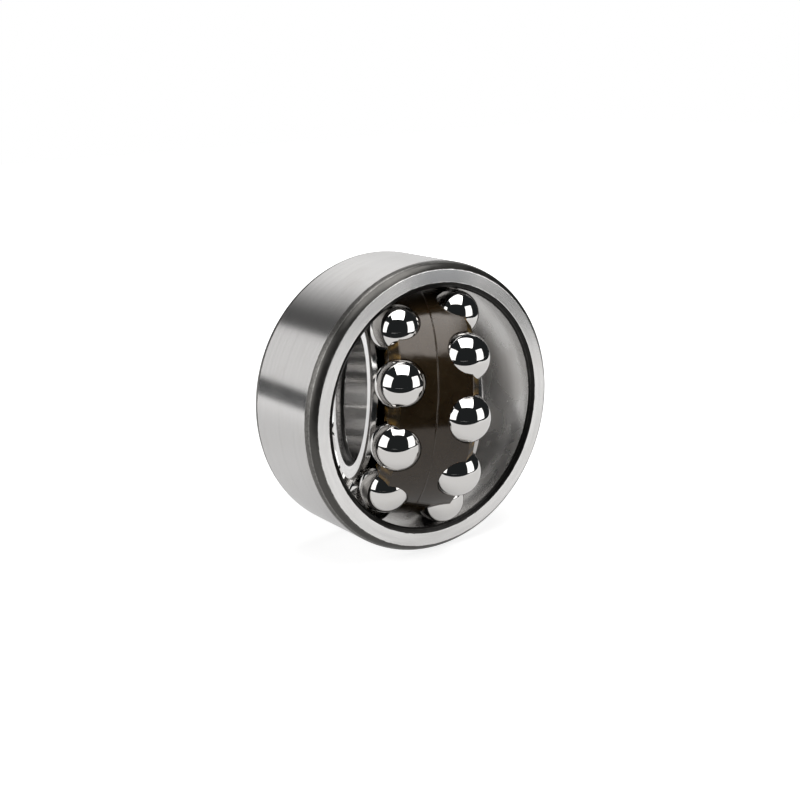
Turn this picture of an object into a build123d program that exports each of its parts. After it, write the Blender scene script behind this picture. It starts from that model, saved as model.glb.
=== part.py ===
from build123d import *
from math import cos, radians, sin, sqrt
import os

# Self-aligning ball bearing with two rows of balls, drawn as photographed:
# the outer ring stands on its rim, and the inner ring with its cage and balls
# is swung out of it about a nearly upright line through the bearing centre.
# The origin is the bearing centre and the outer ring's axis is Y.

# Boundary sizes of the bearing
bore_dia = 35.0
section_height = 22.5  # from the bore out to the outside diameter, which is 80
ring_width = 31.0

# Pose of the inner assembly
swing_angle = 69.3  # from lined up with the outer ring to the photographed pose
swing_lean = 8.1  # lean of the swing line from upright, across the outer axis

# Balls and raceways
balls_per_row = 11
ball_share = 0.6  # ball diameter over the section height
row_share = 0.285  # distance of a row from the middle over the ring width
outer_wall = 4.0  # outer ring at its thinnest, outside the hollow sphere
race_clearance = 0.03  # each side of a ball
groove_ratio = 0.52  # radius of an inner raceway over the ball diameter
first_ball_turn = 26.3  # first ball of row a, from the upper end of the swing line

# Outer ring edges
outer_chamfer_radial = 2.0
outer_chamfer_axial = 3.4
outer_chamfer_swell = 0.5  # rise of the rounded chamfer above its chord
mouth_chamfer_radial = 1.6
mouth_chamfer_swell = 0.12
mouth_chamfer_axial = 1.1

# Inner ring. The shoulders and the land lie inside the pitch circle by these
# shares of the ball radius.
shoulder_share = 0.748
land_share = 0.541
bore_chamfer_radial = 1.6
bore_chamfer_axial = 2.2
bore_chamfer_swell = 0.25
shoulder_chamfer = 0.5

# Cage
cage_rise = 3.95  # middle of the barrel, outside the pitch circle
cage_end_rise = 3.55  # where the barrel ends and the bevel of the prongs starts
cage_land_clearance = 0.3
prong_reach = 3.165  # ends of the prongs, past the middles of the balls
cage_bevel_radial = 2.8
cage_bevel_axial = 2.4
pocket_clearance = 0.12
seam_radius = 0.22  # bead left where the two halves of the mould met
seam_sink = 0.08

# Worked out from the sizes above
half_width = ring_width / 2
bore_radius = bore_dia / 2
outer_radius = bore_radius + section_height
race_radius = outer_radius - outer_wall
ball_radius = section_height * ball_share / 2
ball_reach = race_radius - race_clearance - ball_radius
row_offset = ring_width * row_share
pitch_radius = sqrt(ball_reach**2 - row_offset**2)
ball_pitch = 360 / balls_per_row

# Directions: the swing line, and the inner assembly's own axis once swung
swing_dir = Vector(sin(radians(swing_lean)), 0, cos(radians(swing_lean)))
spin_dir = Vector(0, 1, 0).rotate(Axis((0, 0, 0), swing_dir), swing_angle)
outer_axis = Axis((0, 0, 0), (0, 1, 0))
spin_axis = Axis((0, 0, 0), spin_dir)

# Drawing planes. Profiles have the radius along x and the axis along y.
outer_profile = Plane(origin=(0, 0, 0), x_dir=(1, 0, 0), z_dir=(0, 0, 1))
inner_profile = Plane(origin=(0, 0, 0), x_dir=swing_dir, z_dir=swing_dir.cross(spin_dir))
inner_plane = Plane(origin=(0, 0, 0), x_dir=swing_dir, z_dir=spin_dir)


# Outer ring: half of the profile is drawn and mirrored about the middle
face_outer = outer_radius - outer_chamfer_radial
rim_end = half_width - outer_chamfer_axial
race_end = half_width - mouth_chamfer_axial
race_end_radius = sqrt(race_radius**2 - race_end**2)
face_inner = race_end_radius + mouth_chamfer_radial

with BuildPart() as outer_ring:
    with BuildSketch(outer_profile):
        with BuildLine():
            Line((race_radius, 0), (outer_radius, 0))
            Line((outer_radius, 0), (outer_radius, rim_end))
            SagittaArc((outer_radius, rim_end), (face_outer, half_width), -outer_chamfer_swell)
            Line((face_outer, half_width), (face_inner, half_width))
            SagittaArc((face_inner, half_width), (race_end_radius, race_end), -mouth_chamfer_swell)
            RadiusArc((race_end_radius, race_end), (race_radius, 0), race_radius)
        make_face()
        mirror(about=Plane.XZ)
    revolve(axis=outer_axis)
outer_ring.part.label = "outer_ring"


# Inner ring: two deep grooves whose centres lie on the contact lines, which run
# from the bearing centre through the middles of the balls
shoulder_radius = pitch_radius - shoulder_share * ball_radius
land_radius = pitch_radius - land_share * ball_radius
groove_radius = groove_ratio * ball_radius * 2
groove_reach = ball_reach - ball_radius - race_clearance + groove_radius
groove_x = groove_reach * pitch_radius / ball_reach
groove_y = groove_reach * row_offset / ball_reach
groove_in = groove_y - sqrt(groove_radius**2 - (groove_x - land_radius) ** 2)
groove_out = groove_y + sqrt(groove_radius**2 - (groove_x - shoulder_radius) ** 2)
bore_edge = bore_radius + bore_chamfer_radial
bore_end = half_width - bore_chamfer_axial

with BuildPart() as inner_ring:
    with BuildSketch(inner_profile):
        with BuildLine():
            Line((bore_radius, 0), (bore_radius, bore_end))
            SagittaArc((bore_radius, bore_end), (bore_edge, half_width), -bore_chamfer_swell)
            Line((bore_edge, half_width), (shoulder_radius - shoulder_chamfer, half_width))
            Line(
                (shoulder_radius - shoulder_chamfer, half_width),
                (shoulder_radius, half_width - shoulder_chamfer),
            )
            Line((shoulder_radius, half_width - shoulder_chamfer), (shoulder_radius, groove_out))
            RadiusArc((shoulder_radius, groove_out), (land_radius, groove_in), -groove_radius)
            Line((land_radius, groove_in), (land_radius, 0))
            Line((land_radius, 0), (bore_radius, 0))
        make_face()
        mirror(about=Plane.XZ)
    revolve(axis=spin_axis)
inner_ring.part.label = "inner_ring"


# Cage: a barrel-shaped ring with a round pocket for each ball. The pockets run
# out through both ends, which leaves prongs that snap round the balls.
cage_inner = land_radius + cage_land_clearance
cage_middle = pitch_radius + cage_rise
cage_body = pitch_radius + cage_end_rise
cage_tip = cage_body - cage_bevel_radial
cage_reach = row_offset + prong_reach
bevel_start = cage_reach - cage_bevel_axial
pocket_radius = ball_radius + pocket_clearance
pockets_a = [
    (
        pitch_radius * cos(radians(first_ball_turn + ball_pitch * k)),
        pitch_radius * sin(radians(first_ball_turn + ball_pitch * k)),
        row_offset,
    )
    for k in range(balls_per_row)
]
pockets_b = [
    (
        pitch_radius * cos(radians(first_ball_turn + ball_pitch * (k + 0.5))),
        pitch_radius * sin(radians(first_ball_turn + ball_pitch * (k + 0.5))),
        -row_offset,
    )
    for k in range(balls_per_row)
]

with BuildPart(inner_plane) as cage:
    with BuildSketch(inner_profile):
        with BuildLine():
            Line((cage_inner, -cage_reach), (cage_inner, cage_reach))
            Line((cage_inner, cage_reach), (cage_tip, cage_reach))
            Line((cage_tip, cage_reach), (cage_body, bevel_start))
            ThreePointArc(
                (cage_body, bevel_start),
                (cage_middle, 0),
                (cage_body, -bevel_start),
            )
            Line((cage_body, -bevel_start), (cage_tip, -cage_reach))
            Line((cage_tip, -cage_reach), (cage_inner, -cage_reach))
        make_face()
    revolve(axis=spin_axis)
    with BuildSketch(inner_profile):
        with Locations((cage_middle - seam_sink, 0)):
            Circle(seam_radius)
    revolve(axis=spin_axis)
    with Locations(*pockets_a, *pockets_b):
        Sphere(pocket_radius, mode=Mode.SUBTRACT)
cage.part.label = "cage"


# Write every piece, with one file for each ball
os.makedirs("parts", exist_ok=True)
export_step(outer_ring.part, "parts/outer_ring.step")
export_step(inner_ring.part, "parts/inner_ring.step")
export_step(cage.part, "parts/cage.step")

for row, places in (("a", pockets_a), ("b", pockets_b)):
    for number, place in enumerate(places, start=1):
        with BuildPart(inner_plane) as ball:
            with Locations(place):
                Sphere(ball_radius)
        ball.part.label = f"ball_{row}_{number:02d}"
        export_step(ball.part, f"parts/ball_{row}_{number:02d}.step")
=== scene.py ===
"""Looks of a self-aligning ball bearing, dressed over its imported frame.

The outer ring stands on its rim, and the inner ring with its cage and balls is
swung out of it. Lengths are in metres, but the profiles of the rings are in
millimetres. Each sub-assembly is a class that shapes its own pieces and dresses
them, and each finish is a small frozen class.
"""

import logging
import math
from dataclasses import dataclass, field
from enum import Enum

import bmesh
import bpy
from mathutils import Matrix, Vector


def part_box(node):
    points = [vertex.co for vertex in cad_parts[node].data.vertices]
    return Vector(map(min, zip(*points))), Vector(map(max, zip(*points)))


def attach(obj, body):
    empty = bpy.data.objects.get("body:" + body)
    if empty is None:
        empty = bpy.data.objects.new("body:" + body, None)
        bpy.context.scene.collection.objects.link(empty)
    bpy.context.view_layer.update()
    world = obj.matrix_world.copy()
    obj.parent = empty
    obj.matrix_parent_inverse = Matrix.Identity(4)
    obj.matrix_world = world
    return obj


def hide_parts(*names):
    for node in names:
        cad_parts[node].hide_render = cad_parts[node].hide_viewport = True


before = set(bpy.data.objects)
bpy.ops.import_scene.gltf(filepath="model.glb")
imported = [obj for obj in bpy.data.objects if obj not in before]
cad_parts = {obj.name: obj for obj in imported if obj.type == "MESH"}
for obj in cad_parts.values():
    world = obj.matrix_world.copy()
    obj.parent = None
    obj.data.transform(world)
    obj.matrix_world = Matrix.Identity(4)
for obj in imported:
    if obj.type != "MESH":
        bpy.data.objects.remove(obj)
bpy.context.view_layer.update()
log = logging.getLogger("bearing")

Node = bpy.types.Node
Socket = bpy.types.NodeSocket
Material = bpy.types.Material
Piece = bpy.types.Object
Mesh = bmesh.types.BMesh
Vert = bmesh.types.BMVert
Colour = tuple[float, float, float]
Place = tuple[float, float, float]
Span = tuple[float, float]
Feed = Socket | float | tuple

MM = 0.001
EDGE = "edge"
UV = "UVMap"
SWING_TURN = math.radians(69.3)
SWING_LEAN = math.radians(8.1)
LINE_DEPTH = 0.02 * MM
ALONG_TOOL = 0.25  # a quarter turn lays the anisotropic stretch across the lines
WHITE = (1.0, 1.0, 1.0, 1.0)
# Near black painted on the mouth chamfers: a painted dark reflection, for the dark that the
# polished steel mirrors.
MOUTH_PAINTED_DARK = (0.02, 0.019, 0.018)


# --------------------------------------------------------------- directions


@dataclass(frozen=True)
class Directions:
    """The lines that the bearing is set out from, all through its centre."""

    turn: float = SWING_TURN
    lean: float = SWING_LEAN

    @property
    def swing(self) -> Vector:
        """The nearly upright line that the inner assembly swings about."""
        return Vector((math.sin(self.lean), 0.0, math.cos(self.lean)))

    @property
    def spin(self) -> Vector:
        """The axis of the inner ring once it is swung out."""
        return Matrix.Rotation(self.turn, 3, self.swing) @ Vector((0.0, 1.0, 0.0))

    def outer_frame(self) -> Matrix:
        """Places a shape turned about Z on the outer ring's axis."""
        return axes_matrix(Vector((1.0, 0.0, 0.0)), Vector((0.0, 1.0, 0.0)))

    def inner_frame(self) -> Matrix:
        """Places a shape turned about Z on the inner ring's axis."""
        return axes_matrix(self.swing, self.spin)


def axes_matrix(x_axis: Vector, z_axis: Vector) -> Matrix:
    """Gives the turn that takes X and Z to two square directions.

    Args:
        x_axis: Where X goes.
        z_axis: Where Z goes.

    Returns:
        A 4 by 4 matrix without a move.
    """
    x_unit, z_unit = x_axis.normalized(), z_axis.normalized()
    columns = Matrix((x_unit, z_unit.cross(x_unit), z_unit)).transposed()
    return columns.to_4x4()


def wrapped(angle: float) -> float:
    """Brings an angle to within half a turn of 0."""
    return (angle + math.pi) % math.tau - math.pi


# ------------------------------------------------------------- node helpers


class Mixing(Enum):
    """What a Mix node mixes, with the numbers of its first input and result."""

    COLOUR = ("RGBA", 6, 2)
    VECTOR = ("VECTOR", 4, 1)


class Sheet:
    """A node tree with short ways to add and join its nodes."""

    def __init__(self, tree: bpy.types.NodeTree) -> None:
        """Keeps the tree and empties it of its first nodes."""
        self.tree = tree
        tree.nodes.clear()

    def link(self, source: Socket, node: Node, name: str) -> None:
        """Joins a socket to one of a node's inputs."""
        self.tree.links.new(source, node.inputs[name])

    def feed(self, node: Node, values: dict[str | int, Feed]) -> Node:
        """Sets or links some of a node's inputs.

        Args:
            node: The node.
            values: Constants or sockets, by the input's name or number.

        Returns:
            The same node.
        """
        for key, value in values.items():
            if isinstance(value, Socket):
                self.tree.links.new(value, node.inputs[key])
            else:
                node.inputs[key].default_value = value
        return node

    def add(
        self, kind: str, values: dict[str | int, Feed] | None = None, **options: object
    ) -> Node:
        """Adds a node.

        Args:
            kind: The node's type, without its common prefix.
            values: Constants or sockets for its inputs, by name or number.
            **options: The node's own options.

        Returns:
            The new node.
        """
        node = self.tree.nodes.new("ShaderNode" + kind)
        for name, value in options.items():
            setattr(node, name, value)
        return self.feed(node, values or {})

    def math(self, operation: str, *terms: Feed, clamp: bool = False) -> Socket:
        """Adds a Math node.

        Args:
            operation: The sum that it does.
            *terms: Numbers or sockets, in order.
            clamp: Whether the result is held between 0 and 1.

        Returns:
            The socket with the result.
        """
        node = self.add("Math", dict(enumerate(terms)), operation=operation, use_clamp=clamp)
        return node.outputs[0]

    def plus(self, base: Feed, value: Socket, weight: float, clamp: bool = False) -> Socket:
        """Adds a weighted value to a base."""
        return self.math("ADD", base, self.math("MULTIPLY", value, weight), clamp=clamp)

    def measure(self, operation: str, *terms: Feed) -> Socket:
        """Adds a Vector Math node and gives its number, such as a length."""
        node = self.add("VectorMath", dict(enumerate(terms)), operation=operation)
        return node.outputs["Value"]

    def vector(self, operation: str, *terms: Feed) -> Socket:
        """Adds a Vector Math node and gives its vector, such as a sum."""
        node = self.add("VectorMath", dict(enumerate(terms)), operation=operation)
        return node.outputs["Vector"]

    def scale(self, way: Feed, share: Feed) -> Socket:
        """Makes a vector longer or shorter."""
        return self.add("VectorMath", {0: way, "Scale": share}, operation="SCALE").outputs[0]

    def spread(
        self, value: Socket, low: float, high: float, to_low: float = 0.0, to_high: float = 1.0
    ) -> Socket:
        """Maps a range of values smoothly to another one.

        Args:
            value: The socket to read.
            low: The value that gives to_low.
            high: The value that gives to_high.
            to_low: Result at the low end.
            to_high: Result at the high end.

        Returns:
            The socket with the mapped value.
        """
        inputs = {
            "Value": value,
            "From Min": low,
            "From Max": high,
            "To Min": to_low,
            "To Max": to_high,
        }
        return self.add("MapRange", inputs, interpolation_type="SMOOTHSTEP").outputs[0]

    def mix(self, kind: Mixing, share: Feed, first: Feed, second: Feed) -> Socket:
        """Mixes two colours or two vectors.

        Args:
            kind: What is mixed.
            share: Share of the second one.
            first: A value or a socket.
            second: A value or a socket.

        Returns:
            The socket with the result.
        """
        option, place, result = kind.value
        values = {0: share, place: first, place + 1: second}
        return self.add("Mix", values, data_type=option).outputs[result]

    def blend(self, share: Feed, first: Socket | Colour, second: Socket | Colour) -> Socket:
        """Mixes two colours, each a socket or three numbers."""
        colours = (c if isinstance(c, Socket) else (*c, 1.0) for c in (first, second))
        return self.mix(Mixing.COLOUR, share, *colours)

    def lay(self, colour: Socket | Colour, mask: Socket, share: float, over: Colour) -> Socket:
        """Lays a share of another colour over one where a mask says."""
        return self.blend(self.math("MULTIPLY", mask, share), colour, over)

    def noise(
        self,
        place: Socket,
        scale: Feed,
        detail: float = 3.0,
        rough: float = 0.55,
        bend: float = 0.0,
    ) -> Socket:
        """Adds a noise pattern.

        Args:
            place: The socket that gives the place on the surface.
            scale: How fine the pattern is.
            detail: Octaves of finer pattern.
            rough: Weight of the finer octaves.
            bend: How far the pattern is bent out of shape.

        Returns:
            The socket with the pattern's value.
        """
        inputs = {
            "Vector": place,
            "Scale": scale,
            "Detail": detail,
            "Roughness": rough,
            "Distortion": bend,
        }
        return self.add("TexNoise", inputs).outputs["Fac"]

    def finish(self, shader: Node, output: str = "OutputMaterial") -> None:
        """Ends the sheet with an output for its shader."""
        self.link(shader.outputs[0], self.add(output), "Surface")


def new_material(name: str) -> tuple[Material, Sheet]:
    """Starts a material.

    Args:
        name: The finish's name.

    Returns:
        The material and its empty sheet.
    """
    material = bpy.data.materials.new(name)
    material.use_nodes = True
    return material, Sheet(material.node_tree)


def toned(colour: Colour, share: float | Colour) -> Colour:
    """Multiplies a colour, by one share or one for each channel, up to white.

    Args:
        colour: The colour.
        share: What to multiply it by.

    Returns:
        The new colour.
    """
    shares = share if isinstance(share, tuple) else (share, share, share)
    return tuple(min(1.0, c * s) for c, s in zip(colour, shares))


# ------------------------------------------------------------ shared effects


@dataclass(frozen=True)
class Effect:
    """A shared effect: one node group with named inputs and outputs."""

    name: str
    inputs: tuple[tuple[str, str, float], ...]
    outputs: tuple[str, ...]

    def start(self) -> tuple[Sheet, Node, Node]:
        """Makes the empty group with its sockets.

        Returns:
            Its sheet, its input node and its output node.
        """
        tree = bpy.data.node_groups.new(self.name, "ShaderNodeTree")
        for name, kind, value in self.inputs:
            kind_name = "NodeSocket" + kind
            socket = tree.interface.new_socket(name, in_out="INPUT", socket_type=kind_name)
            if kind == "Float":
                socket.default_value = value
        for name in self.outputs:
            tree.interface.new_socket(name, in_out="OUTPUT", socket_type="NodeSocketFloat")
        sheet = Sheet(tree)
        return sheet, tree.nodes.new("NodeGroupInput"), tree.nodes.new("NodeGroupOutput")


@dataclass(frozen=True)
class ToolLines(Effect):
    """Fine lines that a tool or grinding wheel leaves round a turned piece."""

    name: str = "tool_lines"
    inputs: tuple = (
        ("Surface", "Vector", 0.0),
        ("Fineness", "Float", 2500.0),
        ("Wander", "Float", 6.0),
    )
    outputs: tuple = ("Height", "Tone")
    broad: float = 0.14
    broad_weight: float = 0.3
    apart: float = 7.0
    tone_span: Span = (0.3, 0.7)

    def build(self) -> bpy.types.NodeTree:
        """Builds the group: long thin streaks, fine ones over broad ones.

        Returns:
            The group's tree.
        """
        sheet, start, end = self.start()
        parts = sheet.add("SeparateXYZ", {0: start.outputs["Surface"]})
        along = sheet.math("MULTIPLY", parts.outputs["X"], start.outputs["Wander"])
        streaks = []
        for share, detail in ((1.0, 2.0), (self.broad, 4.0)):
            fineness = sheet.math("MULTIPLY", start.outputs["Fineness"], share)
            across = sheet.math("MULTIPLY", parts.outputs["Y"], fineness)
            place = sheet.add("CombineXYZ", {0: along, 1: across, 2: share * self.apart})
            streaks.append(sheet.noise(place.outputs[0], 1.0, detail))
        fine = sheet.math("MULTIPLY", streaks[0], 1.0 - self.broad_weight)
        sheet.link(sheet.plus(fine, streaks[1], self.broad_weight), end, "Height")
        sheet.link(sheet.spread(streaks[1], *self.tone_span), end, "Tone")
        return sheet.tree


@dataclass(frozen=True)
class HandlingFilm(Effect):
    """Soft blotches of preservative oil and handling on bright steel."""

    name: str = "handling_film"
    inputs: tuple = (("Place", "Vector", 0.0), ("Size", "Float", 90.0), ("Reach", "Float", 0.5))
    outputs: tuple = ("Film", "Speck")
    bend: float = 0.6
    level: float = 0.8
    contrast: float = 2.6
    specks: float = 9.0
    speck_span: Span = (0.12, 0.04)
    gate_span: Span = (0.52, 0.62)

    def build(self) -> bpy.types.NodeTree:
        """Builds the group: cloudy film, and small specks of dust in it.

        Returns:
            The group's tree.
        """
        sheet, start, end = self.start()
        place, size = start.outputs["Place"], start.outputs["Size"]
        cloud = sheet.noise(place, size, 4.0, 0.5, self.bend)
        clear = sheet.math("SUBTRACT", 1.0, start.outputs["Reach"])
        above = sheet.math("SUBTRACT", cloud, sheet.math("MULTIPLY", clear, self.level))
        sheet.link(sheet.math("MULTIPLY", above, self.contrast, clamp=True), end, "Film")
        grid = {"Vector": place, "Scale": sheet.math("MULTIPLY", size, self.specks)}
        dots = sheet.add("TexVoronoi", grid).outputs["Distance"]
        speck, gate = sheet.spread(dots, *self.speck_span), sheet.spread(cloud, *self.gate_span)
        sheet.link(sheet.math("MULTIPLY", speck, gate), end, "Speck")
        return sheet.tree


@dataclass(frozen=True)
class EdgeRub(Effect):
    """Brighter, smoother metal or plastic where corners are rubbed."""

    name: str = "edge_rub"
    inputs: tuple = (("Edge", "Float", 0.0), ("Place", "Vector", 0.0), ("Strength", "Float", 0.6))
    outputs: tuple = ("Rub",)
    fineness: float = 900.0
    pattern_span: Span = (0.34, 0.62)
    edge_span: Span = (0.15, 0.9)

    def build(self) -> bpy.types.NodeTree:
        """Builds the group: the corner mask, broken up by a fine pattern.

        Returns:
            The group's tree.
        """
        sheet, start, end = self.start()
        pattern = sheet.noise(start.outputs["Place"], self.fineness, 4.0, 0.6)
        broken = sheet.spread(pattern, *self.pattern_span)
        edge = sheet.spread(start.outputs["Edge"], *self.edge_span)
        worn = sheet.math("MULTIPLY", edge, broken)
        rub = sheet.math("MULTIPLY", worn, start.outputs["Strength"], clamp=True)
        sheet.link(rub, end, "Rub")
        return sheet.tree


@dataclass(frozen=True)
class FibreFleck(Effect):
    """The fleck and flow marks of a moulding filled with short glass fibre."""

    name: str = "fibre_fleck"
    inputs: tuple = (("Place", "Vector", 0.0), ("Fineness", "Float", 1500.0))
    outputs: tuple = ("Fleck", "Flow", "Height")
    flow_size: float = 160.0
    bend: float = 1.2
    fine_weight: float = 0.5
    fleck_span: Span = (0.56, 0.72)
    flow_span: Span = (0.38, 0.64)

    def build(self) -> bpy.types.NodeTree:
        """Builds the group: short flecks, broad flow marks and their relief.

        Returns:
            The group's tree.
        """
        sheet, start, end = self.start()
        place = start.outputs["Place"]
        flow = sheet.noise(place, self.flow_size, 3.0, 0.5, self.bend)
        fine = sheet.noise(place, start.outputs["Fineness"], 4.0, 0.7)
        sheet.link(sheet.spread(fine, *self.fleck_span), end, "Fleck")
        sheet.link(sheet.spread(flow, *self.flow_span), end, "Flow")
        sheet.link(sheet.plus(flow, fine, self.fine_weight), end, "Height")
        return sheet.tree


class Effects:
    """Builds each shared group once and places it in materials."""

    def __init__(self) -> None:
        """Builds the groups."""
        made = (ToolLines(), HandlingFilm(), EdgeRub(), FibreFleck())
        self.trees = {effect.name: effect.build() for effect in made}

    def place(self, sheet: Sheet, name: str, values: dict[str, Feed]) -> Node:
        """Places a group in a material.

        Args:
            sheet: The material's sheet.
            name: The group's name.
            values: Its inputs, by name.

        Returns:
            The group node.
        """
        node = sheet.tree.nodes.new("ShaderNodeGroup")
        node.node_tree = self.trees[name]
        return sheet.feed(node, values)

    def on_steel(
        self, sheet: Sheet, lines: tuple[float, float], film: tuple[float, float], rub: float
    ) -> tuple[Socket, Node, Node, Socket]:
        """Places the groups that every turned steel surface shows.

        Args:
            sheet: The material's sheet.
            lines: Fineness and wander of the tool lines.
            film: Size and reach of the handling film.
            rub: Strength of the wear on the corners.

        Returns:
            The place on the piece, the lines, the film and the mask of wear.
        """
        place = sheet.add("TexCoord").outputs["Object"]
        surface = sheet.add("UVMap", uv_map=UV).outputs[0]
        edge = sheet.add("Attribute", attribute_name=EDGE).outputs["Fac"]
        streaks = {"Surface": surface, "Fineness": lines[0], "Wander": lines[1]}
        blotches = {"Place": place, "Size": film[0], "Reach": film[1]}
        wear = {"Edge": edge, "Place": place, "Strength": rub}
        return (
            place,
            self.place(sheet, "tool_lines", streaks),
            self.place(sheet, "handling_film", blotches),
            self.place(sheet, "edge_rub", wear).outputs["Rub"],
        )


# ----------------------------------------------------------------- finishes


@dataclass(frozen=True)
class Steel:
    """Bright bearing steel, from ground to mirror polished.

    Where a place is given, a darker, bluish patch of painted shade lies round it, standing in for a
    darker reflection there.
    """

    name: str
    colour: Colour
    roughness: float
    rough_span: float = 0.05
    anisotropy: float = 0.0
    lines: float = 2500.0
    wander: float = 6.0
    relief: float = 0.06
    tone_span: float = 0.06
    film: float = 0.35
    film_size: float = 90.0
    film_tone: Colour = (0.93, 0.9, 0.86)
    film_share: float = 0.45
    dust: Colour = (0.2, 0.19, 0.18)
    dust_share: float = 0.5
    dust_rough: float = 0.15
    rub: float = 0.5
    rub_tone: float = 1.25
    # A patch of painted shade: darker, bluish steel that stands in for a darker reflection.
    shade_patch_at: Place | None = None
    shade_patch_reach: float = 15.5 * MM
    shade_patch_tone: Colour = (0.55, 0.565, 0.585)
    shade_patch_share: float = 0.85
    shade_patch_wander: float = 160.0

    def painted_shade_patch(self, sheet: Sheet, place: Socket) -> Socket:
        """Gives the share of painted shade: most in the patch, none away from it.

        Args:
            sheet: The material's sheet.
            place: The place on the piece.

        Returns:
            The socket with the mask.
        """
        away = sheet.measure("DISTANCE", place, self.shade_patch_at)
        wander = sheet.math("SUBTRACT", sheet.noise(place, self.shade_patch_wander), 0.5)
        ragged = sheet.plus(away, wander, self.shade_patch_reach / 2)
        core = self.shade_patch_reach / 5
        return sheet.spread(ragged, self.shade_patch_reach, core, 0.0, self.shade_patch_share)

    def tones(self, sheet: Sheet, place: Socket, lines: Node, film: Node, rub: Socket) -> Socket:
        """Lays the tool's tones, the film, the dust and the wear in one colour.

        Args:
            sheet: The material's sheet.
            place: The place on the piece.
            lines: The tool lines.
            film: The handling film.
            rub: The mask of wear.

        Returns:
            The socket with the colour.
        """
        dark, light = (toned(self.colour, 1.0 + side * self.tone_span) for side in (-1, 1))
        colour = sheet.blend(lines.outputs["Tone"], dark, light)
        stained = toned(self.colour, self.film_tone)
        colour = sheet.lay(colour, film.outputs["Film"], self.film_share, stained)
        # Painted shade: the patch darkens the steel where its reflection is darker.
        if self.shade_patch_at:
            shaded_patch = toned(self.colour, self.shade_patch_tone)
            colour = sheet.blend(self.painted_shade_patch(sheet, place), colour, shaded_patch)
        colour = sheet.lay(colour, film.outputs["Speck"], self.dust_share, self.dust)
        return sheet.blend(rub, colour, toned(self.colour, self.rub_tone))

    def build(self, effects: Effects) -> Material:
        """Builds the material.

        Args:
            effects: The shared groups.

        Returns:
            The new material.
        """
        material, sheet = new_material(self.name)
        place, lines, film, rub = effects.on_steel(
            sheet, (self.lines, self.wander), (self.film_size, self.film), self.rub
        )
        rough = sheet.plus(self.roughness, film.outputs["Film"], self.rough_span)
        rough = sheet.plus(rough, film.outputs["Speck"], self.dust_rough, clamp=True)
        height = lines.outputs["Height"]
        bump = sheet.add(
            "Bump", {"Strength": self.relief, "Distance": LINE_DEPTH, "Height": height}
        )
        inputs = {
            "Base Color": self.tones(sheet, place, lines, film, rub),
            "Metallic": 1.0,
            "Roughness": rough,
            "Normal": bump.outputs[0],
            "Anisotropic": self.anisotropy,
            "Anisotropic Rotation": ALONG_TOOL,
        }
        shader = sheet.add("BsdfPrincipled", inputs)
        if self.anisotropy:
            tangent = sheet.add("Tangent", direction_type="UV_MAP", uv_map=UV)
            sheet.link(tangent.outputs[0], shader, "Tangent")
        sheet.finish(shader)
        return material


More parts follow.
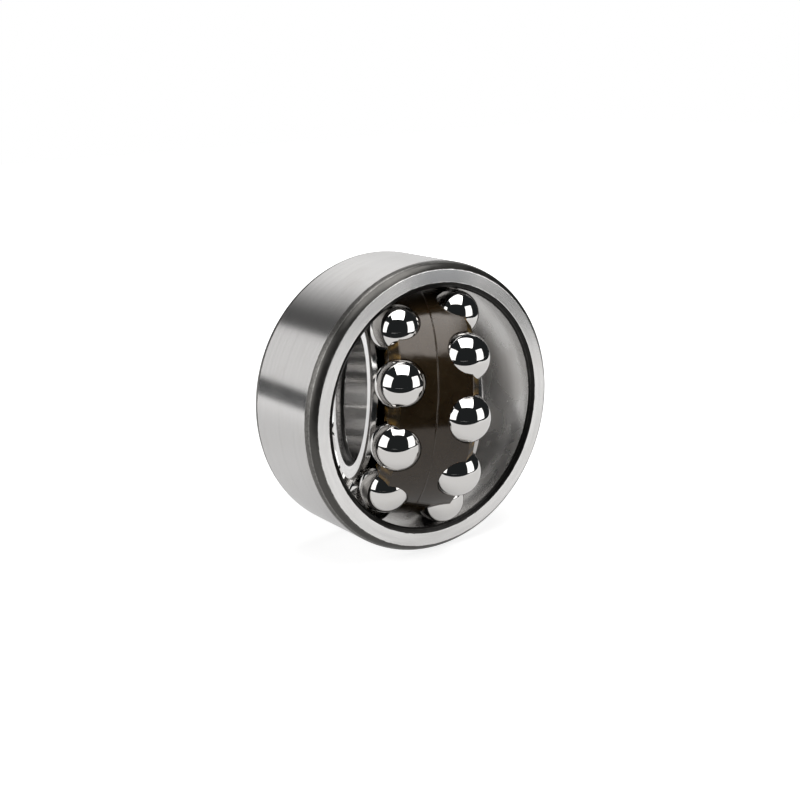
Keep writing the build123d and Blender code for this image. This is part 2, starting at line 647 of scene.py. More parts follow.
@dataclass(frozen=True)
class Polyamide:
    """Dark brown polyamide with glass fibre, with a painted glow where it is thin.

    The cage's row, pitch and pocket sizes say where the prongs come close to
    the balls, which is where the plastic is thin; the glow painted there stands
    in for light that comes through it.
    """

    name: str
    lines: Directions
    colour: Colour = (0.0185, 0.011, 0.0045)
    pale: Colour = (0.0245, 0.0155, 0.007)
    prong_tone: Colour = (0.02, 0.0125, 0.004)
    prong_share: float = 0.8
    # Painted glow: a light yellow-brown that stands in for light through thin plastic.
    painted_glow: Colour = (0.2, 0.115, 0.025)
    fleck: Colour = (0.09, 0.075, 0.055)
    fleck_share: float = 0.1
    # Lighter edges: partly real wear, partly painted rim highlight.
    rub_and_rim_highlight: Colour = (0.12, 0.09, 0.05)
    rub_and_highlight_share: float = 0.3
    sheen: Colour = (1.0, 0.91, 0.84)
    roughness: float = 0.12
    fleck_rough: float = 0.12
    film_rough: float = 0.1
    prong_rough: float = 0.12
    fineness: float = 1500.0
    film: float = 0.4
    film_size: float = 140.0
    rub: float = 0.8
    glow_size: float = 420.0
    glow_span: Span = (0.36, 0.6)
    glow_least: float = 0.15
    relief: float = 0.11
    relief_depth: float = 0.06 * MM
    refraction: float = 1.55
    scatter: float = 0.15
    scatter_reach: Place = (1.6 * MM, 0.8 * MM, 0.3 * MM)
    scatter_scale: float = 0.6
    row_offset: float = 8.835 * MM
    pitch_radius: float = 27.852 * MM
    pocket: float = 6.87 * MM
    thin_past: float = 1.7 * MM
    thinnest_past: float = 0.05 * MM
    first_ball: float = math.radians(26.3)
    pitch: float = math.radians(360 / 11)
    prong_start: float = 9.6 * MM
    prong_end: float = 10.1 * MM
    prong_edge: float = 0.1 * MM
    bevel_lean: float = 0.651
    lean_span: Span = (0.12, 0.03)
    nose_lead: float = 0.3 * MM
    nose_turn: float = 0.375
    corner: float = 0.22 * MM
    corner_samples: int = 6
    corner_span: Span = (0.995, 0.86)

    def thinness(self, sheet: Sheet, place: Socket, axial: Socket) -> Socket:
        """Gives 1 where a surface is close to a pocket and 0 away from it.

        Args:
            sheet: The material's sheet.
            place: The place on the cage.
            axial: The way along the axis from the cage's middle.

        Returns:
            The socket with the mask.
        """
        x_way, spin = self.lines.swing, self.lines.spin
        x_part = sheet.measure("DOT_PRODUCT", place, tuple(x_way))
        y_part = sheet.measure("DOT_PRODUCT", place, tuple(spin.cross(x_way)))
        angle = sheet.math("SUBTRACT", sheet.math("ARCTAN2", y_part, x_part), self.first_ball)
        half = self.pitch / 2
        other_row = sheet.math("MULTIPLY", sheet.math("LESS_THAN", axial, 0.0), half)
        angle = sheet.math("WRAP", sheet.math("SUBTRACT", angle, other_row), half, -half)
        plane = sheet.add("CombineXYZ", {0: x_part, 1: y_part})
        radius = sheet.measure("LENGTH", plane.outputs[0])
        outward = sheet.math("MULTIPLY", radius, sheet.math("COSINE", angle))
        gap = {
            0: sheet.math("SUBTRACT", outward, self.pitch_radius),
            1: sheet.math("MULTIPLY", radius, sheet.math("SINE", angle)),
            2: sheet.math("SUBTRACT", sheet.math("ABSOLUTE", axial), self.row_offset),
        }
        reach = sheet.measure("LENGTH", sheet.add("CombineXYZ", gap).outputs[0])
        return sheet.spread(reach, self.pocket + self.thin_past, self.pocket + self.thinnest_past)

    def prongs(self, sheet: Sheet, axial: Socket) -> Socket:
        """Gives 1 on the prongs, past where the barrel ends."""
        low, high = self.prong_start - self.prong_edge, self.prong_start + self.prong_edge
        return sheet.spread(sheet.math("ABSOLUTE", axial), low, high)

    def nose(
        self, sheet: Sheet, place: Socket, axial: Socket, normal: Socket, base: Socket
    ) -> Socket:
        """Rounds the bevelled ends of the prongs in the shading.

        Args:
            sheet: The material's sheet.
            place: The place on the cage.
            axial: The way along the axis from the cage's middle.
            normal: The surface's own direction.
            base: The direction to keep away from the bevels.

        Returns:
            The socket with the direction to shade with.
        """
        spin = tuple(self.lines.spin)
        radial = sheet.vector("SUBTRACT", place, sheet.scale(spin, axial))
        radial = sheet.vector("NORMALIZE", radial)
        lean = sheet.measure("DOT_PRODUCT", normal, radial)
        lean = sheet.math("ABSOLUTE", sheet.math("SUBTRACT", lean, self.bevel_lean))
        leaning = sheet.spread(lean, *self.lean_span)
        bevel = sheet.math("MULTIPLY", leaning, self.prongs(sheet, axial))
        along, begin = sheet.math("ABSOLUTE", axial), self.prong_start - self.nose_lead
        share = sheet.spread(along, begin, self.prong_end, 0.0, self.nose_turn)
        outward = sheet.math("MULTIPLY", sheet.math("SIGN", axial), share)
        body_way = sheet.scale(radial, sheet.math("SUBTRACT", 1.0, share))
        bent = sheet.vector("ADD", sheet.scale(spin, outward), body_way)
        bent = sheet.vector("NORMALIZE", bent)
        return sheet.vector("NORMALIZE", sheet.mix(Mixing.VECTOR, bevel, base, bent))

    def tones(
        self, sheet: Sheet, place: Socket, fleck: Node, prong: Socket, glow: Socket, rub: Socket
    ) -> Socket:
        """Lays the flow marks, the painted glow, the flecks and the wear with its painted rim
        highlights in one colour.

        Args:
            sheet: The material's sheet.
            place: The place on the cage.
            fleck: The fibre's marks.
            prong: The mask of the prongs.
            glow: The mask of what is thin, where the glow is painted.
            rub: The mask of worn edges, which also carries painted rim highlights.

        Returns:
            The socket with the colour.
        """
        pattern = sheet.noise(place, self.glow_size)
        patches = sheet.spread(pattern, *self.glow_span, self.glow_least, 1.0)
        colour = sheet.blend(fleck.outputs["Flow"], self.colour, self.pale)
        colour = sheet.lay(colour, prong, self.prong_share, self.prong_tone)
        # Painted glow on the thin prong ends, standing in for light that comes through.
        light = sheet.math("MULTIPLY", prong, sheet.math("MULTIPLY", glow, patches))
        colour = sheet.blend(light, colour, self.painted_glow)
        colour = sheet.lay(colour, fleck.outputs["Fleck"], self.fleck_share, self.fleck)
        # Edges lightened: partly real wear, partly painted rim highlight.
        return sheet.lay(colour, rub, self.rub_and_highlight_share, self.rub_and_rim_highlight)

    def build(self, effects: Effects) -> Material:
        """Builds the material.

        Args:
            effects: The shared groups.

        Returns:
            The new material.
        """
        material, sheet = new_material(self.name)
        place = sheet.add("TexCoord").outputs["Object"]
        fleck = effects.place(sheet, "fibre_fleck", {"Place": place, "Fineness": self.fineness})
        blotches = {"Place": place, "Size": self.film_size, "Reach": self.film}
        film = effects.place(sheet, "handling_film", blotches)
        axial = sheet.measure("DOT_PRODUCT", place, tuple(self.lines.spin))
        prong, thin = self.prongs(sheet, axial), self.thinness(sheet, place, axial)
        # A Bevel node finds the corners, for rounded shading and for lighter edges that are partly
        # wear and partly painted rim highlight.
        corners = sheet.add("Bevel", {"Radius": self.corner}, samples=self.corner_samples)
        rounded, flat = corners.outputs[0], sheet.add("NewGeometry").outputs["Normal"]
        turned = sheet.measure("DOT_PRODUCT", rounded, flat)
        edge = sheet.spread(turned, *self.corner_span)
        wear = {"Edge": edge, "Place": place, "Strength": self.rub}
        rub = effects.place(sheet, "edge_rub", wear).outputs["Rub"]
        rough = sheet.plus(self.roughness, fleck.outputs["Fleck"], self.fleck_rough)
        rough = sheet.plus(rough, film.outputs["Film"], self.film_rough)
        rough = sheet.plus(rough, prong, self.prong_rough, clamp=True)
        relief = {
            "Strength": self.relief,
            "Distance": self.relief_depth,
            "Height": fleck.outputs["Height"],
            "Normal": self.nose(sheet, place, axial, flat, rounded),
        }
        inputs = {
            "Base Color": self.tones(sheet, place, fleck, prong, thin, rub),
            "Roughness": rough,
            "IOR": self.refraction,
            "Specular Tint": (*self.sheen, 1.0),
            "Normal": sheet.add("Bump", relief).outputs[0],
            "Subsurface Weight": self.scatter,
            "Subsurface Radius": self.scatter_reach,
            "Subsurface Scale": self.scatter_scale,
        }
        sheet.finish(sheet.add("BsdfPrincipled", inputs))
        return material


@dataclass(frozen=True)
class Corner:
    """A turned corner that hardening left dark, with a painted highlight band along its middle; its
    worn edges take the same light colour.

    The tones go by the distance from the ring's middle along its axis.
    """

    name: str
    axis: Vector
    start: float
    end: float
    outer: Colour = (0.17, 0.164, 0.155)
    # Light colour of the painted highlight band, also laid on worn edges.
    highlight_and_rub: Colour = (0.4, 0.39, 0.375)
    inner: Colour = (0.075, 0.072, 0.067)
    highlight_share: float = 0.55
    highlight_span: Span = (0.07, 0.02)
    split: float = 0.46
    split_width: float = 0.1
    roughness: float = 0.3
    film_rough: float = 0.18
    metallic: float = 0.85
    lines: float = 5200.0
    wander: float = 9.0
    relief: float = 0.16
    line_share: float = 0.35
    film: float = 0.5
    film_size: float = 260.0
    film_share: float = 0.3
    film_tone: float = 0.6
    rub: float = 0.55
    grain: float = 2200.0
    grain_span: Span = (0.42, 0.64)
    grain_share: float = 0.7
    grain_tone: float = 0.45

    def tones(self, sheet: Sheet, place: Socket, lines: Node, film: Node, rub: Socket) -> Socket:
        """Lays both sides of the corner, its painted highlight band and its marks in one colour.

        Args:
            sheet: The material's sheet.
            place: The place on the piece.
            lines: The tool lines.
            film: The handling film.
            rub: The mask of wear.

        Returns:
            The socket with the colour.
        """
        axial = sheet.math("ABSOLUTE", sheet.measure("DOT_PRODUCT", place, tuple(self.axis)))
        share = sheet.math("SUBTRACT", axial, self.start)
        share = sheet.math("DIVIDE", share, self.end - self.start)
        past = sheet.spread(share, self.split, self.split + self.split_width)
        near = sheet.math("ABSOLUTE", sheet.math("SUBTRACT", share, self.split))
        grey = tuple((o + i) / 2 for o, i in zip(self.outer, self.inner))
        grain = sheet.spread(sheet.noise(place, self.grain, 3.0, 0.65), *self.grain_span)
        stained = toned(self.outer, self.film_tone)
        layers = (
            # Painted highlight: a light band where the two sides meet.
            (sheet.spread(near, *self.highlight_span), self.highlight_share, self.highlight_and_rub),
            (lines.outputs["Tone"], self.line_share, grey),
            (grain, self.grain_share, toned(self.outer, self.grain_tone)),
            (film.outputs["Film"], self.film_share, stained),
        )
        colour = sheet.blend(past, self.outer, self.inner)
        for mask, weight, over in layers:
            colour = sheet.lay(colour, mask, weight, over)
        # Worn edges, real wear, in the painted highlight's colour.
        return sheet.blend(rub, colour, self.highlight_and_rub)

    def build(self, effects: Effects) -> Material:
        """Builds the material.

        Args:
            effects: The shared groups.

        Returns:
            The new material.
        """
        material, sheet = new_material(self.name)
        place, lines, film, rub = effects.on_steel(
            sheet, (self.lines, self.wander), (self.film_size, self.film), self.rub
        )
        height = lines.outputs["Height"]
        bump = sheet.add(
            "Bump", {"Strength": self.relief, "Distance": LINE_DEPTH, "Height": height}
        )
        inputs = {
            "Base Color": self.tones(sheet, place, lines, film, rub),
            "Metallic": self.metallic,
            "Roughness": sheet.plus(
                self.roughness, film.outputs["Film"], self.film_rough, clamp=True
            ),
            "Normal": bump.outputs[0],
        }
        sheet.finish(sheet.add("BsdfPrincipled", inputs))
        return material


class Skin(Enum):
    """The steel finishes, each by its place in a ring's slots."""

    GROUND = 0
    FACED = 1
    TURNED = 2
    POLISHED = 3
    MOUTH = 4
    SMOOTH = 5


# ------------------------------------------------------------ turned pieces


@dataclass(frozen=True)
class Run:
    """One stretch of a ring's profile, from where the last one ended.

    The profile goes round with the metal on its left. A swell below 0 stands
    out of the metal. A centre makes the stretch part of that circle.
    """

    to: tuple[float, float]
    skin: Skin
    swell: float = 0.0
    centre: tuple[float, float] | None = None
    steps: int = 1

    def goal(self) -> Vector:
        """Gives the end of the stretch in the plane of the profile."""
        return in_plane(self.to)


def in_plane(point: tuple[float, float]) -> Vector:
    """Puts a radius and an axial place, in mm, in the plane of the profile."""
    return Vector((point[0], 0.0, point[1])) * MM


@dataclass
class TurnedRing:
    """A ring turned from a closed profile of radius and axial place, in mm.

    A straight stretch that is long enough gets a point close to each end, to
    hold its shading flat beside the rounded corners.
    """

    name: str
    node: str
    body: str
    slot: str
    start: tuple[float, float]
    runs: tuple[Run, ...]
    place: Matrix
    around: int = 288
    hold: float = 0.22
    corner: float = 0.09
    corner_steps: int = 3
    digits: int = 7
    touch: float = 3e-7
    weld: float = 1e-7
    side_slope: float = 0.75
    mesh: Mesh = field(init=False, default=None)

    def straight(self, strip: Mesh, last: Vert, run: Run) -> Vert:
        """Draws a straight stretch, with a point close to each end.

        Args:
            strip: The mesh to draw in.
            last: The vertex where it starts.
            run: The stretch.

        Returns:
            The vertex where it ends.
        """
        begin, goal, hold = last.co.copy(), run.goal(), self.hold * MM
        reach = (goal - begin).length
        shares = [1.0]
        if reach > 3 * hold:
            shares = [hold / reach, 1.0 - hold / reach, 1.0]
        for share in shares:
            made = bmesh.ops.extrude_vert_indiv(strip, verts=[last])["verts"][0]
            made.co = begin.lerp(goal, share)
            last = made
        return last

    def arc(self, strip: Mesh, last: Vert, run: Run) -> Vert:
        """Draws a stretch of a circle by spinning its first vertex.

        Args:
            strip: The mesh to draw in.
            last: The vertex where it starts.
            run: The stretch.

        Returns:
            The vertex where it ends.
        """
        begin, goal = last.co.copy(), run.goal()
        if run.centre:
            centre = in_plane(run.centre)
        else:
            chord = goal - begin
            rise, half = run.swell * MM, chord.length / 2
            radius = (half**2 + rise**2) / (2 * abs(rise))
            left = Vector((-chord.z, 0.0, chord.x)).normalized()
            centre = (begin + goal) / 2 + left * (rise - math.copysign(radius, rise))
        first, second = begin - centre, goal - centre
        turn = wrapped(math.atan2(first.z, first.x) - math.atan2(second.z, second.x))
        made = bmesh.ops.spin(
            strip,
            geom=[last],
            cent=centre,
            axis=(0, 1, 0),
            angle=turn,
            steps=run.steps,
            use_duplicate=False,
        )
        return next(part for part in made["geom_last"] if isinstance(part, Vert))

    def turn_strip(self, point: Vector, run: Run) -> Vector:
        """Draws one stretch, spins it into faces and adds them to the ring.

        Args:
            point: Where the stretch starts.
            run: The stretch.

        Returns:
            Where the stretch ends.
        """
        strip = bmesh.new()
        last = bmesh.ops.create_vert(strip, co=point)["vert"][0]
        last = self.arc(strip, last, run) if run.steps > 1 else self.straight(strip, last, run)
        end = last.co.copy()
        bmesh.ops.spin(
            strip,
            geom=strip.edges[:],
            cent=(0, 0, 0),
            axis=(0, 0, 1),
            angle=math.tau,
            steps=self.around,
            use_merge=True,
            use_duplicate=False,
        )
        for face in strip.faces:
            face.material_index = run.skin.value
        data = bpy.data.meshes.new("strip")
        strip.to_mesh(data)
        strip.free()
        self.mesh.from_mesh(data)
        bpy.data.meshes.remove(data)
        return end

    def turn_profile(self) -> None:
        """Turns every stretch and joins them into one closed ring."""
        self.mesh = bmesh.new()
        point = in_plane(self.start)
        corners = []
        for run in self.runs:
            corners.append(point)
            point = self.turn_strip(point, run)
        bmesh.ops.remove_doubles(self.mesh, verts=self.mesh.verts, dist=self.weld)
        self.soften(corners)

    def section(self, place: Vector) -> tuple[float, float]:
        """Gives a place's radius and way along the axis, rounded to compare."""
        return round(math.hypot(place.x, place.y), self.digits), round(place.z, self.digits)

    def soften(self, corners: list[Vector]) -> None:
        """Rounds the ring's corners a little and marks them for wear.

        Args:
            corners: The profile's corners, as places in its first plane.
        """
        rings = [self.section(corner) for corner in corners]
        sharp = []
        for edge in self.mesh.edges:
            first, second = (self.section(vert.co) for vert in edge.verts)
            if first == second and any(math.dist(first, ring) < self.touch for ring in rings):
                sharp.append(edge)
        made = bmesh.ops.bevel(
            self.mesh,
            geom=sharp,
            offset=self.corner * MM,
            offset_type="OFFSET",
            affect="EDGES",
            segments=self.corner_steps,
            profile=0.5,
            material=-1,
            clamp_overlap=True,
            loop_slide=True,
        )
        bmesh.ops.recalc_face_normals(self.mesh, faces=self.mesh.faces)
        layer = self.mesh.verts.layers.float.new(EDGE)
        for face in made["faces"]:
            for vert in face.verts:
                vert[layer] = 1.0

    def unwrap(self) -> None:
        """Lays the faces out by their way round and their place across."""
        layer = self.mesh.loops.layers.uv.new(UV)
        self.mesh.normal_update()
        for face in self.mesh.faces:
            middle = face.calc_center_median()
            home = math.atan2(middle.y, middle.x)
            flat = abs(face.normal.z) > self.side_slope
            for loop in face.loops:
                place = loop.vert.co
                away = wrapped(math.atan2(place.y, place.x) - home)
                across = math.hypot(place.x, place.y) if flat else place.z
                loop[layer].uv = ((home + away) / math.tau, across)

    def build(self, materials: list[Material]) -> Piece:
        """Makes the ring's piece in place of its plain node.

        Args:
            materials: The finishes, in the order of Skin.

        Returns:
            The finished piece.
        """
        self.turn_profile()
        self.unwrap()
        bmesh.ops.transform(self.mesh, matrix=self.place, verts=self.mesh.verts)
        piece = as_piece(self.name, self.mesh, materials)
        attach(piece, self.body)
        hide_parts(self.node)
        return piece


def as_piece(name: str, mesh: Mesh, materials: list[Material]) -> Piece:
    """Turns a finished mesh into an object at the origin.

    Args:
        name: The piece's name.
        mesh: Its shape, in the row frame. It is freed here.
        materials: Its slots, in order.

    Returns:
        The new object.
    """
    data = bpy.data.meshes.new(name)
    for face in mesh.faces:
        face.smooth = True
    mesh.to_mesh(data)
    mesh.free()
    for material in materials:
        data.materials.append(material)
    piece = bpy.data.objects.new(name, data)
    bpy.context.scene.collection.objects.link(piece)
    return piece


def as_stage(name: str, mesh: Mesh, material: Material, seen: bool) -> Piece:
    """Turns a finished mesh into a piece of the studio.

    Args:
        name: The piece's name.
        mesh: Its shape. It is freed here.
        material: Its finish.
        seen: Whether the camera sees it and light meets it. If not, only
            reflections show it.

    Returns:
        The new object.
    """
    piece = as_piece(name, mesh, [material])
    piece.visible_camera = piece.visible_diffuse = piece.visible_shadow = seen
    return piece


# ----------------------------------------------------------- sub-assemblies


@dataclass
class OuterRing:
    """The outer ring: ground outside, faced sides and a hollow sphere inside."""

    lines: Directions
    outer: float = 40.0
    half: float = 15.5
    rim_end: float = 12.1
    face_outer: float = 38.0
    mouth: float = 32.994
    mouth_end: float = 14.4
    face_inner: float = 34.594
    rim_swell: float = -0.5
    mouth_swell: float = -0.12

    def profile(self) -> tuple[Run, ...]:
        """Gives the profile, from the rear end of the outside, up and round.

        Returns:
            The stretches, in order.
        """
        return (
            Run((self.outer, self.rim_end), Skin.GROUND),
            Run((self.face_outer, self.half), Skin.TURNED, swell=self.rim_swell, steps=12),
            Run((self.face_inner, self.half), Skin.FACED),
            Run((self.mouth, self.mouth_end), Skin.MOUTH, swell=self.mouth_swell, steps=6),
            Run((self.mouth, -self.mouth_end), Skin.POLISHED, centre=(0.0, 0.0), steps=56),
            Run((self.face_inner, -self.half), Skin.MOUTH, swell=self.mouth_swell, steps=6),
            Run((self.face_outer, -self.half), Skin.FACED),
            Run((self.outer, -self.rim_end), Skin.TURNED, swell=self.rim_swell, steps=12),
        )

    def build(self, effects: Effects) -> Piece:
        """Makes the outer ring.

        Args:
            effects: The shared groups.

        Returns:
            The finished piece.
        """
        axis, half = Vector((0.0, 1.0, 0.0)), self.half * MM
        skins = [
            Steel(
                "outer_ground_steel",
                (0.55, 0.54, 0.535),
                0.2,
                anisotropy=0.75,
                lines=5200.0,
                wander=2.0,
                relief=0.02,
                tone_span=0.025,
            ),
            Steel(
                "outer_faced_steel",
                (0.73, 0.72, 0.71),
                0.215,
                anisotropy=0.35,
                lines=4200.0,
                wander=14.0,
                relief=0.09,
                # Painted shade at the top of the front face, standing in for its darker reflection.
                shade_patch_at=(2.5 * MM, -15.5 * MM, 36.1 * MM),
            ),
            Corner("outer_turned_corner", axis, self.rim_end * MM, half),
            Steel(
                "outer_polished_raceway",
                (0.52, 0.51, 0.5),
                0.24,
                rough_span=0.1,
                lines=1900.0,
                wander=3.0,
                relief=0.07,
                film=0.5,
            ),
            # The mouth: near black painted as a dark reflection, with a painted highlight band.
            Corner(
                "outer_turned_mouth",
                axis,
                self.mouth_end * MM,
                half,
                outer=MOUTH_PAINTED_DARK,
                highlight_and_rub=(0.12, 0.115, 0.11),
                inner=MOUTH_PAINTED_DARK,
            ),
        ]
        ring = TurnedRing(
            name="outer_ring_piece",
            node="outer_ring",
            body="outer_ring",
            slot="outer_ring_steel",
            start=(self.outer, -self.rim_end),
            runs=self.profile(),
            place=self.lines.outer_frame(),
        )
        return ring.build([skin.build(effects) for skin in skins])


@dataclass
class InnerRing:
    """The inner ring: plain bore, narrow side faces and two deep grooves."""

    lines: Directions
    bore: float = 17.5
    half: float = 15.5
    bore_end: float = 13.3
    bore_edge: float = 19.1
    bore_swell: float = -0.25
    shoulder: float = 22.803
    shoulder_cut: float = 0.5
    land: float = 24.2
    groove_in: float = 3.058
    groove_out: float = 13.536
    groove_centre: tuple[float, float] = (28.081, 8.908)

    def profile(self) -> tuple[Run, ...]:
        """Gives the profile, from the rear shoulder, up and round.

        Returns:
            The stretches, in order.
        """
        side, cut = self.half - self.shoulder_cut, self.shoulder - self.shoulder_cut
        front, rear = self.groove_centre, (self.groove_centre[0], -self.groove_centre[1])
        return (
            Run((self.shoulder, -self.groove_out), Skin.GROUND),
            Run((self.land, -self.groove_in), Skin.POLISHED, centre=rear, steps=28),
            Run((self.land, self.groove_in), Skin.GROUND),
            Run((self.shoulder, self.groove_out), Skin.POLISHED, centre=front, steps=28),
            Run((self.shoulder, side), Skin.GROUND),
            Run((cut, self.half), Skin.TURNED),
            Run((self.bore_edge, self.half), Skin.FACED),
            Run((self.bore, self.bore_end), Skin.MOUTH, swell=self.bore_swell, steps=8),
            Run((self.bore, -self.bore_end), Skin.SMOOTH),
            Run((self.bore_edge, -self.half), Skin.MOUTH, swell=self.bore_swell, steps=8),
            Run((cut, -self.half), Skin.FACED),
            Run((self.shoulder, -side), Skin.TURNED),
        )

    def build(self, effects: Effects) -> Piece:
        """Makes the inner ring.

        Args:
            effects: The shared groups.

        Returns:
            The finished piece.
        """
        skins = [
            Steel(
                "inner_ground_steel",
                (0.48, 0.47, 0.46),
                0.18,
                anisotropy=0.4,
                lines=3000.0,
                relief=0.02,
                tone_span=0.03,
            ),
            Steel(
                "inner_faced_steel",
                (0.7, 0.69, 0.685),
                0.24,
                anisotropy=0.4,
                lines=5200.0,
                wander=14.0,
                relief=0.08,
            ),
            Steel(
                "inner_turned_chamfer",
                (0.42, 0.4, 0.39),
                0.22,
                lines=5200.0,
                wander=9.0,
                relief=0.14,
                tone_span=0.1,
            ),
            Steel(
                "inner_polished_raceway",
                (0.56, 0.55, 0.54),
                0.08,
                lines=3600.0,
                wander=3.0,
                relief=0.03,
            ),
            # The bore's mouth: partly painted near black as a dark reflection, with a painted
            # highlight band.
            Corner(
                "inner_turned_mouth",
                self.lines.spin,
                self.bore_end * MM,
                self.half * MM,
                outer=MOUTH_PAINTED_DARK,
                highlight_and_rub=(0.3, 0.29, 0.28),
                inner=(0.2, 0.19, 0.185),
                split=0.5,
            ),
            Steel(
                "inner_smooth_bore",
                (0.82, 0.81, 0.8),
                0.15,
                rough_span=0.02,
                anisotropy=0.95,
                lines=3000.0,
                relief=0.0,
                tone_span=0.02,
                film=0.2,
            ),
        ]
        ring = TurnedRing(
            name="inner_ring_piece",
            node="inner_ring",
            body="inner_ring",
            slot="inner_ring_steel",
            start=(self.shoulder, self.shoulder_cut - self.half),
            runs=self.profile(),
            place=self.lines.inner_frame(),
        )
        return ring.build([skin.build(effects) for skin in skins])


@dataclass
class Cage:
    """The moulded cage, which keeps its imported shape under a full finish."""

    lines: Directions
    node: str = "cage"

    def build(self, effects: Effects) -> Piece:
        """Dresses the cage.

        Args:
            effects: The shared groups.

        Returns:
            The cage's own node.
        """
        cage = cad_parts[self.node]
        material = Polyamide("cage_polyamide_fibre", self.lines).build(effects)
        cage.data.materials.clear()
        cage.data.materials.append(material)
        return cage


@dataclass
class BallSet:
    """The two rows of balls, each ball true to its packed place and size."""

    lines: Directions
    rows: tuple[str, ...] = ("a", "b")
    in_row: int = 11
    round_steps: int = 88
    height_steps: int = 44

    def ball(self, node: str, material: Material) -> Piece:
        """Makes one ball in place of its node.

        Args:
            node: The ball's node.
            material: Its finish.

        Returns:
            The finished piece.
        """
        low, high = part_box(node)
        mesh = bmesh.new()
        bmesh.ops.create_uvsphere(
            mesh,
            u_segments=self.round_steps,
            v_segments=self.height_steps,
            radius=(high.x - low.x) / 2,
            calc_uvs=True,
        )
        turn = Matrix.Translation((low + high) / 2) @ self.lines.inner_frame()
        bmesh.ops.transform(mesh, matrix=turn, verts=mesh.verts)
        piece = as_piece(f"{node}_piece", mesh, [material])
        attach(piece, node)
        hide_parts(node)
        return piece

    def build(self, effects: Effects) -> list[Piece]:
        """Makes every ball.

        Args:
            effects: The shared groups.

        Returns:
            The finished pieces.
        """
        chrome = Steel(
            "ball_mirror_steel",
            (0.64, 0.625, 0.61),
            0.02,
            rough_span=0.05,
            lines=60.0,
            wander=40.0,
            relief=0.006,
            tone_span=0.01,
            film=0.3,
            film_size=220.0,
            rub=0.0,
        ).build(effects)
        numbers = range(1, self.in_row + 1)
        names = [f"ball_{row}_{number:02d}" for row in self.rows for number in numbers]
        return [self.ball(name, chrome) for name in names]


# ------------------------------------------------------------------- studio


@dataclass(frozen=True)
class Panel:
    """A flat bright panel beside the set, with its back away from the bearing."""

    name: str
    centre: Place
    facing: Place
    across: Place
    width: float
    height: float
    radiance: float
    colour: Colour = (1.0, 1.0, 0.995)

    def place(self) -> Matrix:
        """Gives the turn and the move that hang the panel.

        Returns:
            The matrix that takes the back to Z, and X across the panel.
        """
        back, across = Vector(self.facing).normalized(), Vector(self.across)
        square = across - back * across.dot(back)
        return Matrix.Translation(self.centre) @ axes_matrix(square, back)


@dataclass(frozen=True)
class Softbox(Panel):
    """A flat soft light that faces the bearing from one side."""

    def build(self) -> Piece:
        """Hangs the light, and keeps it out of the camera's own view.

        Returns:
            The light's object.
        """
        data = bpy.data.lights.new(self.name, "AREA")
        data.shape = "RECTANGLE"
        data.size, data.size_y = self.width, self.height
        data.energy = self.radiance * math.pi * self.width * self.height
        data.color = self.colour
        box = bpy.data.objects.new(self.name, data)
        box.matrix_world = self.place()
        box.visible_camera = False
        bpy.context.scene.collection.objects.link(box)
        return box


@dataclass(frozen=True)
class Card(Panel):
    """A lit card that only polished metal mirrors.

    Along its width the glow rises from dim to the full radiance over fade,
    which is measured from the card's middle.
    """

    dim: float = 0.0
    fade: Span = (-9.0, -8.0)

    def build(self) -> Piece:
        """Hangs the card and keeps it out of the view and the light.

        Returns:
            The card's object.
        """
        material, sheet = new_material(self.name)
        place = sheet.add("TexCoord").outputs["Object"]
        away = sheet.vector("SUBTRACT", place, self.centre)
        along = sheet.measure("DOT_PRODUCT", away, self.across)
        strength = sheet.spread(along, *self.fade, self.dim, self.radiance)
        glow = {"Color": (*self.colour, 1.0), "Strength": strength}
        sheet.finish(sheet.add("Emission", glow))
        mesh = bmesh.new()
        bmesh.ops.create_grid(mesh, x_segments=1, y_segments=1, size=0.5)
        bmesh.ops.scale(mesh, verts=mesh.verts, vec=(self.width, self.height, 1.0))
        bmesh.ops.transform(mesh, matrix=self.place(), verts=mesh.verts)
        return as_stage(self.name, mesh, material, seen=False)


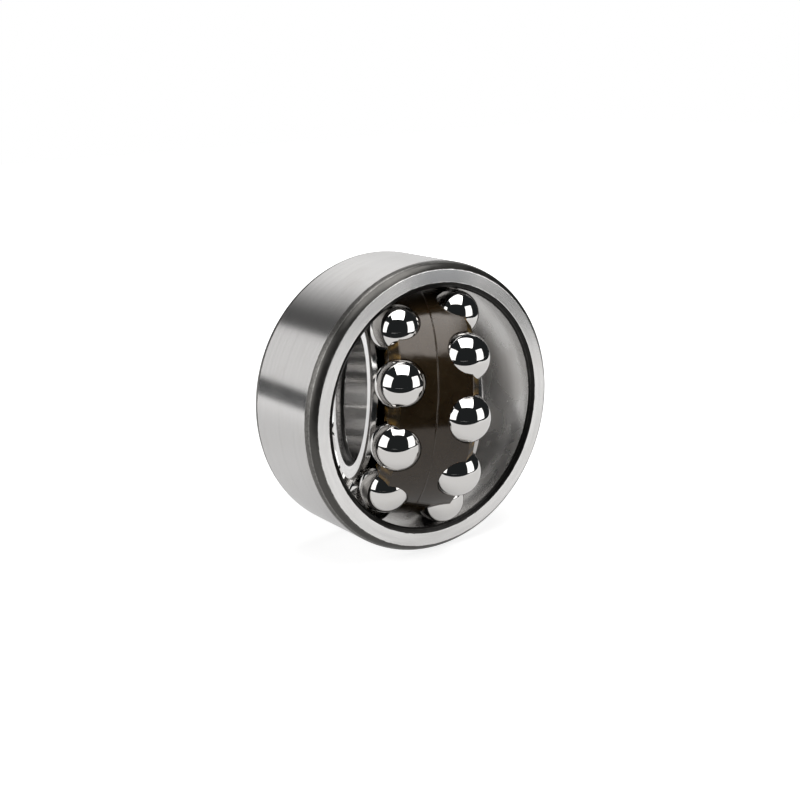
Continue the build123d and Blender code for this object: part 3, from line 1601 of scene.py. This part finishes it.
@dataclass
class Studio:
    """White table, soft lights, dark surroundings and the camera."""

    table: float = -0.04
    table_half: float = 1.6
    table_tone: float = 0.45
    table_rough: float = 0.4
    table_glow: Span = (0.5, 1.0)
    glow_span: Span = (0.12, 0.5)
    view_glow: float = 0.3
    card_near: float = 0.158
    card_right: float = 0.285
    card_far: float = 0.55
    card_left: float = 0.47
    cloth_lift: float = 0.5 * MM
    cloth_tone: Colour = (0.9, 1.0, 1.05)
    cloth_glow: float = 0.022
    tent: float = 2.2
    tent_steps: tuple[int, int] = (32, 16)
    sky_glow: Span = (0.1, 1.0)
    reach: float = 0.3507
    lens: float = 56.49
    sensor: float = 36.0
    nearest: float = 0.01
    azimuth: float = math.radians(-35.08)
    elevation: float = math.radians(15.16)
    roll: float = math.radians(-2.08)
    shift: tuple[float, float] = (-4.6 / 800, -1.2 / 800)

    @property
    def back(self) -> Vector:
        """From the bearing to the camera."""
        level = Vector((math.sin(self.azimuth), -math.cos(self.azimuth), 0.0))
        return level * math.cos(self.elevation) + Vector((0.0, 0.0, math.sin(self.elevation)))

    @property
    def level_right(self) -> Vector:
        """The camera's right before its roll."""
        return Vector((math.cos(self.azimuth), math.sin(self.azimuth), 0.0))

    def camera(self) -> Piece:
        """Stands the camera where the photograph was taken from.

        Returns:
            The camera's object.
        """
        data = bpy.data.cameras.new("camera")
        data.lens, data.sensor_width = self.lens, self.sensor
        data.shift_x, data.shift_y = self.shift
        data.clip_start = self.nearest
        data.dof.use_dof = False
        camera = bpy.data.objects.new("camera", data)
        right = Matrix.Rotation(self.roll, 3, self.back) @ self.level_right
        stand = Matrix.Translation(self.back * self.reach)
        camera.matrix_world = stand @ axes_matrix(right, self.back)
        bpy.context.scene.collection.objects.link(camera)
        bpy.context.scene.camera = camera
        return camera

    def seen(self, sheet: Sheet) -> Socket:
        """Gives 1 for what the camera, metal or glass sees, and 0 for light.

        Args:
            sheet: The sheet to add to.

        Returns:
            The socket with the mask.
        """
        path = sheet.add("LightPath")
        glossy, through = path.outputs["Is Glossy Ray"], path.outputs["Is Transmission Ray"]
        shiny = sheet.math("MAXIMUM", glossy, through)
        return sheet.math("MAXIMUM", path.outputs["Is Camera Ray"], shiny)

    def floor(self) -> Piece:
        """Lays the white table, which keeps the bearing's shadow.

        Returns:
            The table's object.
        """
        material, sheet = new_material("table_white")
        tone = (self.table_tone, self.table_tone, self.table_tone, 1.0)
        matte = sheet.add("BsdfDiffuse", {"Color": tone, "Roughness": self.table_rough})
        away = sheet.measure("LENGTH", sheet.add("TexCoord").outputs["Object"])
        share = sheet.spread(away, *self.glow_span, *self.table_glow)
        seen = sheet.math("MULTIPLY", self.seen(sheet), share)
        strength = sheet.plus(seen, sheet.add("LightPath").outputs["Is Camera Ray"], self.view_glow)
        glow = sheet.add("Emission", {"Color": WHITE, "Strength": strength})
        sheet.finish(sheet.add("AddShader", {0: matte.outputs[0], 1: glow.outputs[0]}))
        mesh = bmesh.new()
        bmesh.ops.create_grid(mesh, x_segments=1, y_segments=1, size=self.table_half)
        bmesh.ops.translate(mesh, verts=mesh.verts, vec=(0.0, 0.0, self.table))
        return as_stage("studio_table", mesh, material, seen=True)

    def dark(self) -> Material:
        """Makes the near black of the cloth round the set.

        Returns:
            The new material.
        """
        material, sheet = new_material("studio_black_cloth")
        glow = {"Color": (*self.cloth_tone, 1.0), "Strength": self.cloth_glow}
        sheet.finish(sheet.add("Emission", glow))
        return material

    def table_cloth(self) -> Mesh:
        """Cuts the cloth that lies on the table, with a hole for the set.

        Returns:
            A grid of nine faces, without the middle one.
        """
        cloth, cuts = bmesh.new(), 3
        bmesh.ops.create_grid(cloth, x_segments=cuts, y_segments=cuts, size=1.0)
        middle = min(cloth.faces, key=lambda face: face.calc_center_median().length)
        bmesh.ops.delete(cloth, geom=[middle], context="FACES")
        columns = (-self.table_half, -self.card_left, self.card_right, self.table_half)
        rows = (-self.table_half, -self.card_near, self.card_far, self.table_half)
        for vert in cloth.verts:
            column, row = (round((place + 1.0) * cuts / 2) for place in vert.co.xy)
            vert.co = Vector((columns[column], rows[row], 0.0))
        turn = axes_matrix(self.level_right, Vector((0.0, 0.0, 1.0)))
        lift = Matrix.Translation((0.0, 0.0, self.table + self.cloth_lift))
        bmesh.ops.transform(cloth, matrix=lift @ turn, verts=cloth.verts)
        return cloth

    def cloth(self) -> None:
        """Hangs black cloth round the set and lays it round the table.

        Only polished metal sees it, as in the photograph, where the steel
        mirrors a dark room between the lights.
        """
        black, tent = self.dark(), bmesh.new()
        around, up = self.tent_steps
        bmesh.ops.create_uvsphere(tent, u_segments=around, v_segments=up, radius=self.tent)
        as_stage("studio_tent", tent, black, seen=False)
        as_stage("studio_table_cloth", self.table_cloth(), black, seen=False)

    def world(self) -> None:
        """Sets a white surrounding for the view and a faint one for light."""
        world = bpy.data.worlds.new("studio")
        bpy.context.scene.world = world
        world.use_nodes = True
        sheet = Sheet(world.node_tree)
        strength = sheet.spread(self.seen(sheet), 0.0, 1.0, *self.sky_glow)
        sky = sheet.add("Background", {"Color": WHITE, "Strength": strength})
        sheet.finish(sky, "OutputWorld")

    def softboxes(self) -> tuple[Softbox, ...]:
        """Gives the three soft lights over and beside the camera.

        Returns:
            The lights.
        """
        return (
            Softbox(
                "softbox_top",
                centre=(0.04, -0.092, 0.642),
                facing=(0.06, -0.14, 0.987),
                across=(0.853, -0.478, -0.12),
                width=0.58,
                height=0.64,
                radiance=3.5,
            ),
            Softbox(
                "softbox_left",
                centre=(-0.595, 0.117, 0.25),
                facing=(-0.92, 0.15, 0.36),
                across=(-0.167, -0.985, 0.04),
                width=0.58,
                height=0.5,
                radiance=2.0,
            ),
            Softbox(
                "softbox_right",
                centre=(0.39, -0.513, 0.11),
                facing=(0.6, -0.79, 0.17),
                across=(0.8, 0.6, -0.25),
                width=0.42,
                height=0.57,
                radiance=2.0,
            ),
        )

    def cards(self) -> tuple[Card, ...]:
        """Gives the three pale cards behind the set, for the ground outside.

        Returns:
            The cards.
        """
        return (
            Card(
                "card_behind_left",
                centre=(-0.48, 1.07, 0.262),
                facing=(-0.89, 0.0, 0.455),
                across=(0.0, 1.0, 0.0),
                width=1.26,
                height=0.46,
                radiance=1.05,
            ),
            Card(
                "card_behind_top",
                centre=(0.175, 0.7, 0.45),
                facing=(0.0, 0.0, 1.0),
                across=(1.0, 0.0, 0.0),
                width=1.07,
                height=0.7,
                radiance=1.15,
                dim=0.13,
                fade=(-0.4, -0.02),
            ),
            Card(
                "card_behind_right",
                centre=(0.78, 1.07, 0.21),
                facing=(-0.59, -0.81, 0.0),
                across=(0.81, -0.59, 0.0),
                width=0.8,
                height=0.62,
                radiance=0.92,
            ),
        )

    def build(self) -> None:
        """Sets up the whole studio."""
        self.camera()
        self.floor()
        self.cloth()
        self.world()
        for light in (*self.softboxes(), *self.cards()):
            light.build()


def main() -> None:
    """Builds the bearing and its studio."""
    logging.basicConfig(level=logging.INFO, format="%(name)s: %(message)s")
    bpy.context.scene.view_settings.view_transform = "Standard"
    lines = Directions()
    Studio().build()
    effects = Effects()
    outer = OuterRing(lines).build(effects)
    log.info("%s has %d faces", outer.name, len(outer.data.polygons))
    inner = InnerRing(lines).build(effects)
    log.info("%s has %d faces", inner.name, len(inner.data.polygons))
    cage = Cage(lines).build(effects)
    log.info("%s keeps its packed shape, %d faces", cage.name, len(cage.data.polygons))
    balls = BallSet(lines).build(effects)
    log.info("%d balls of %d faces each", len(balls), len(balls[0].data.polygons))


if __name__ == "__main__":
    main()
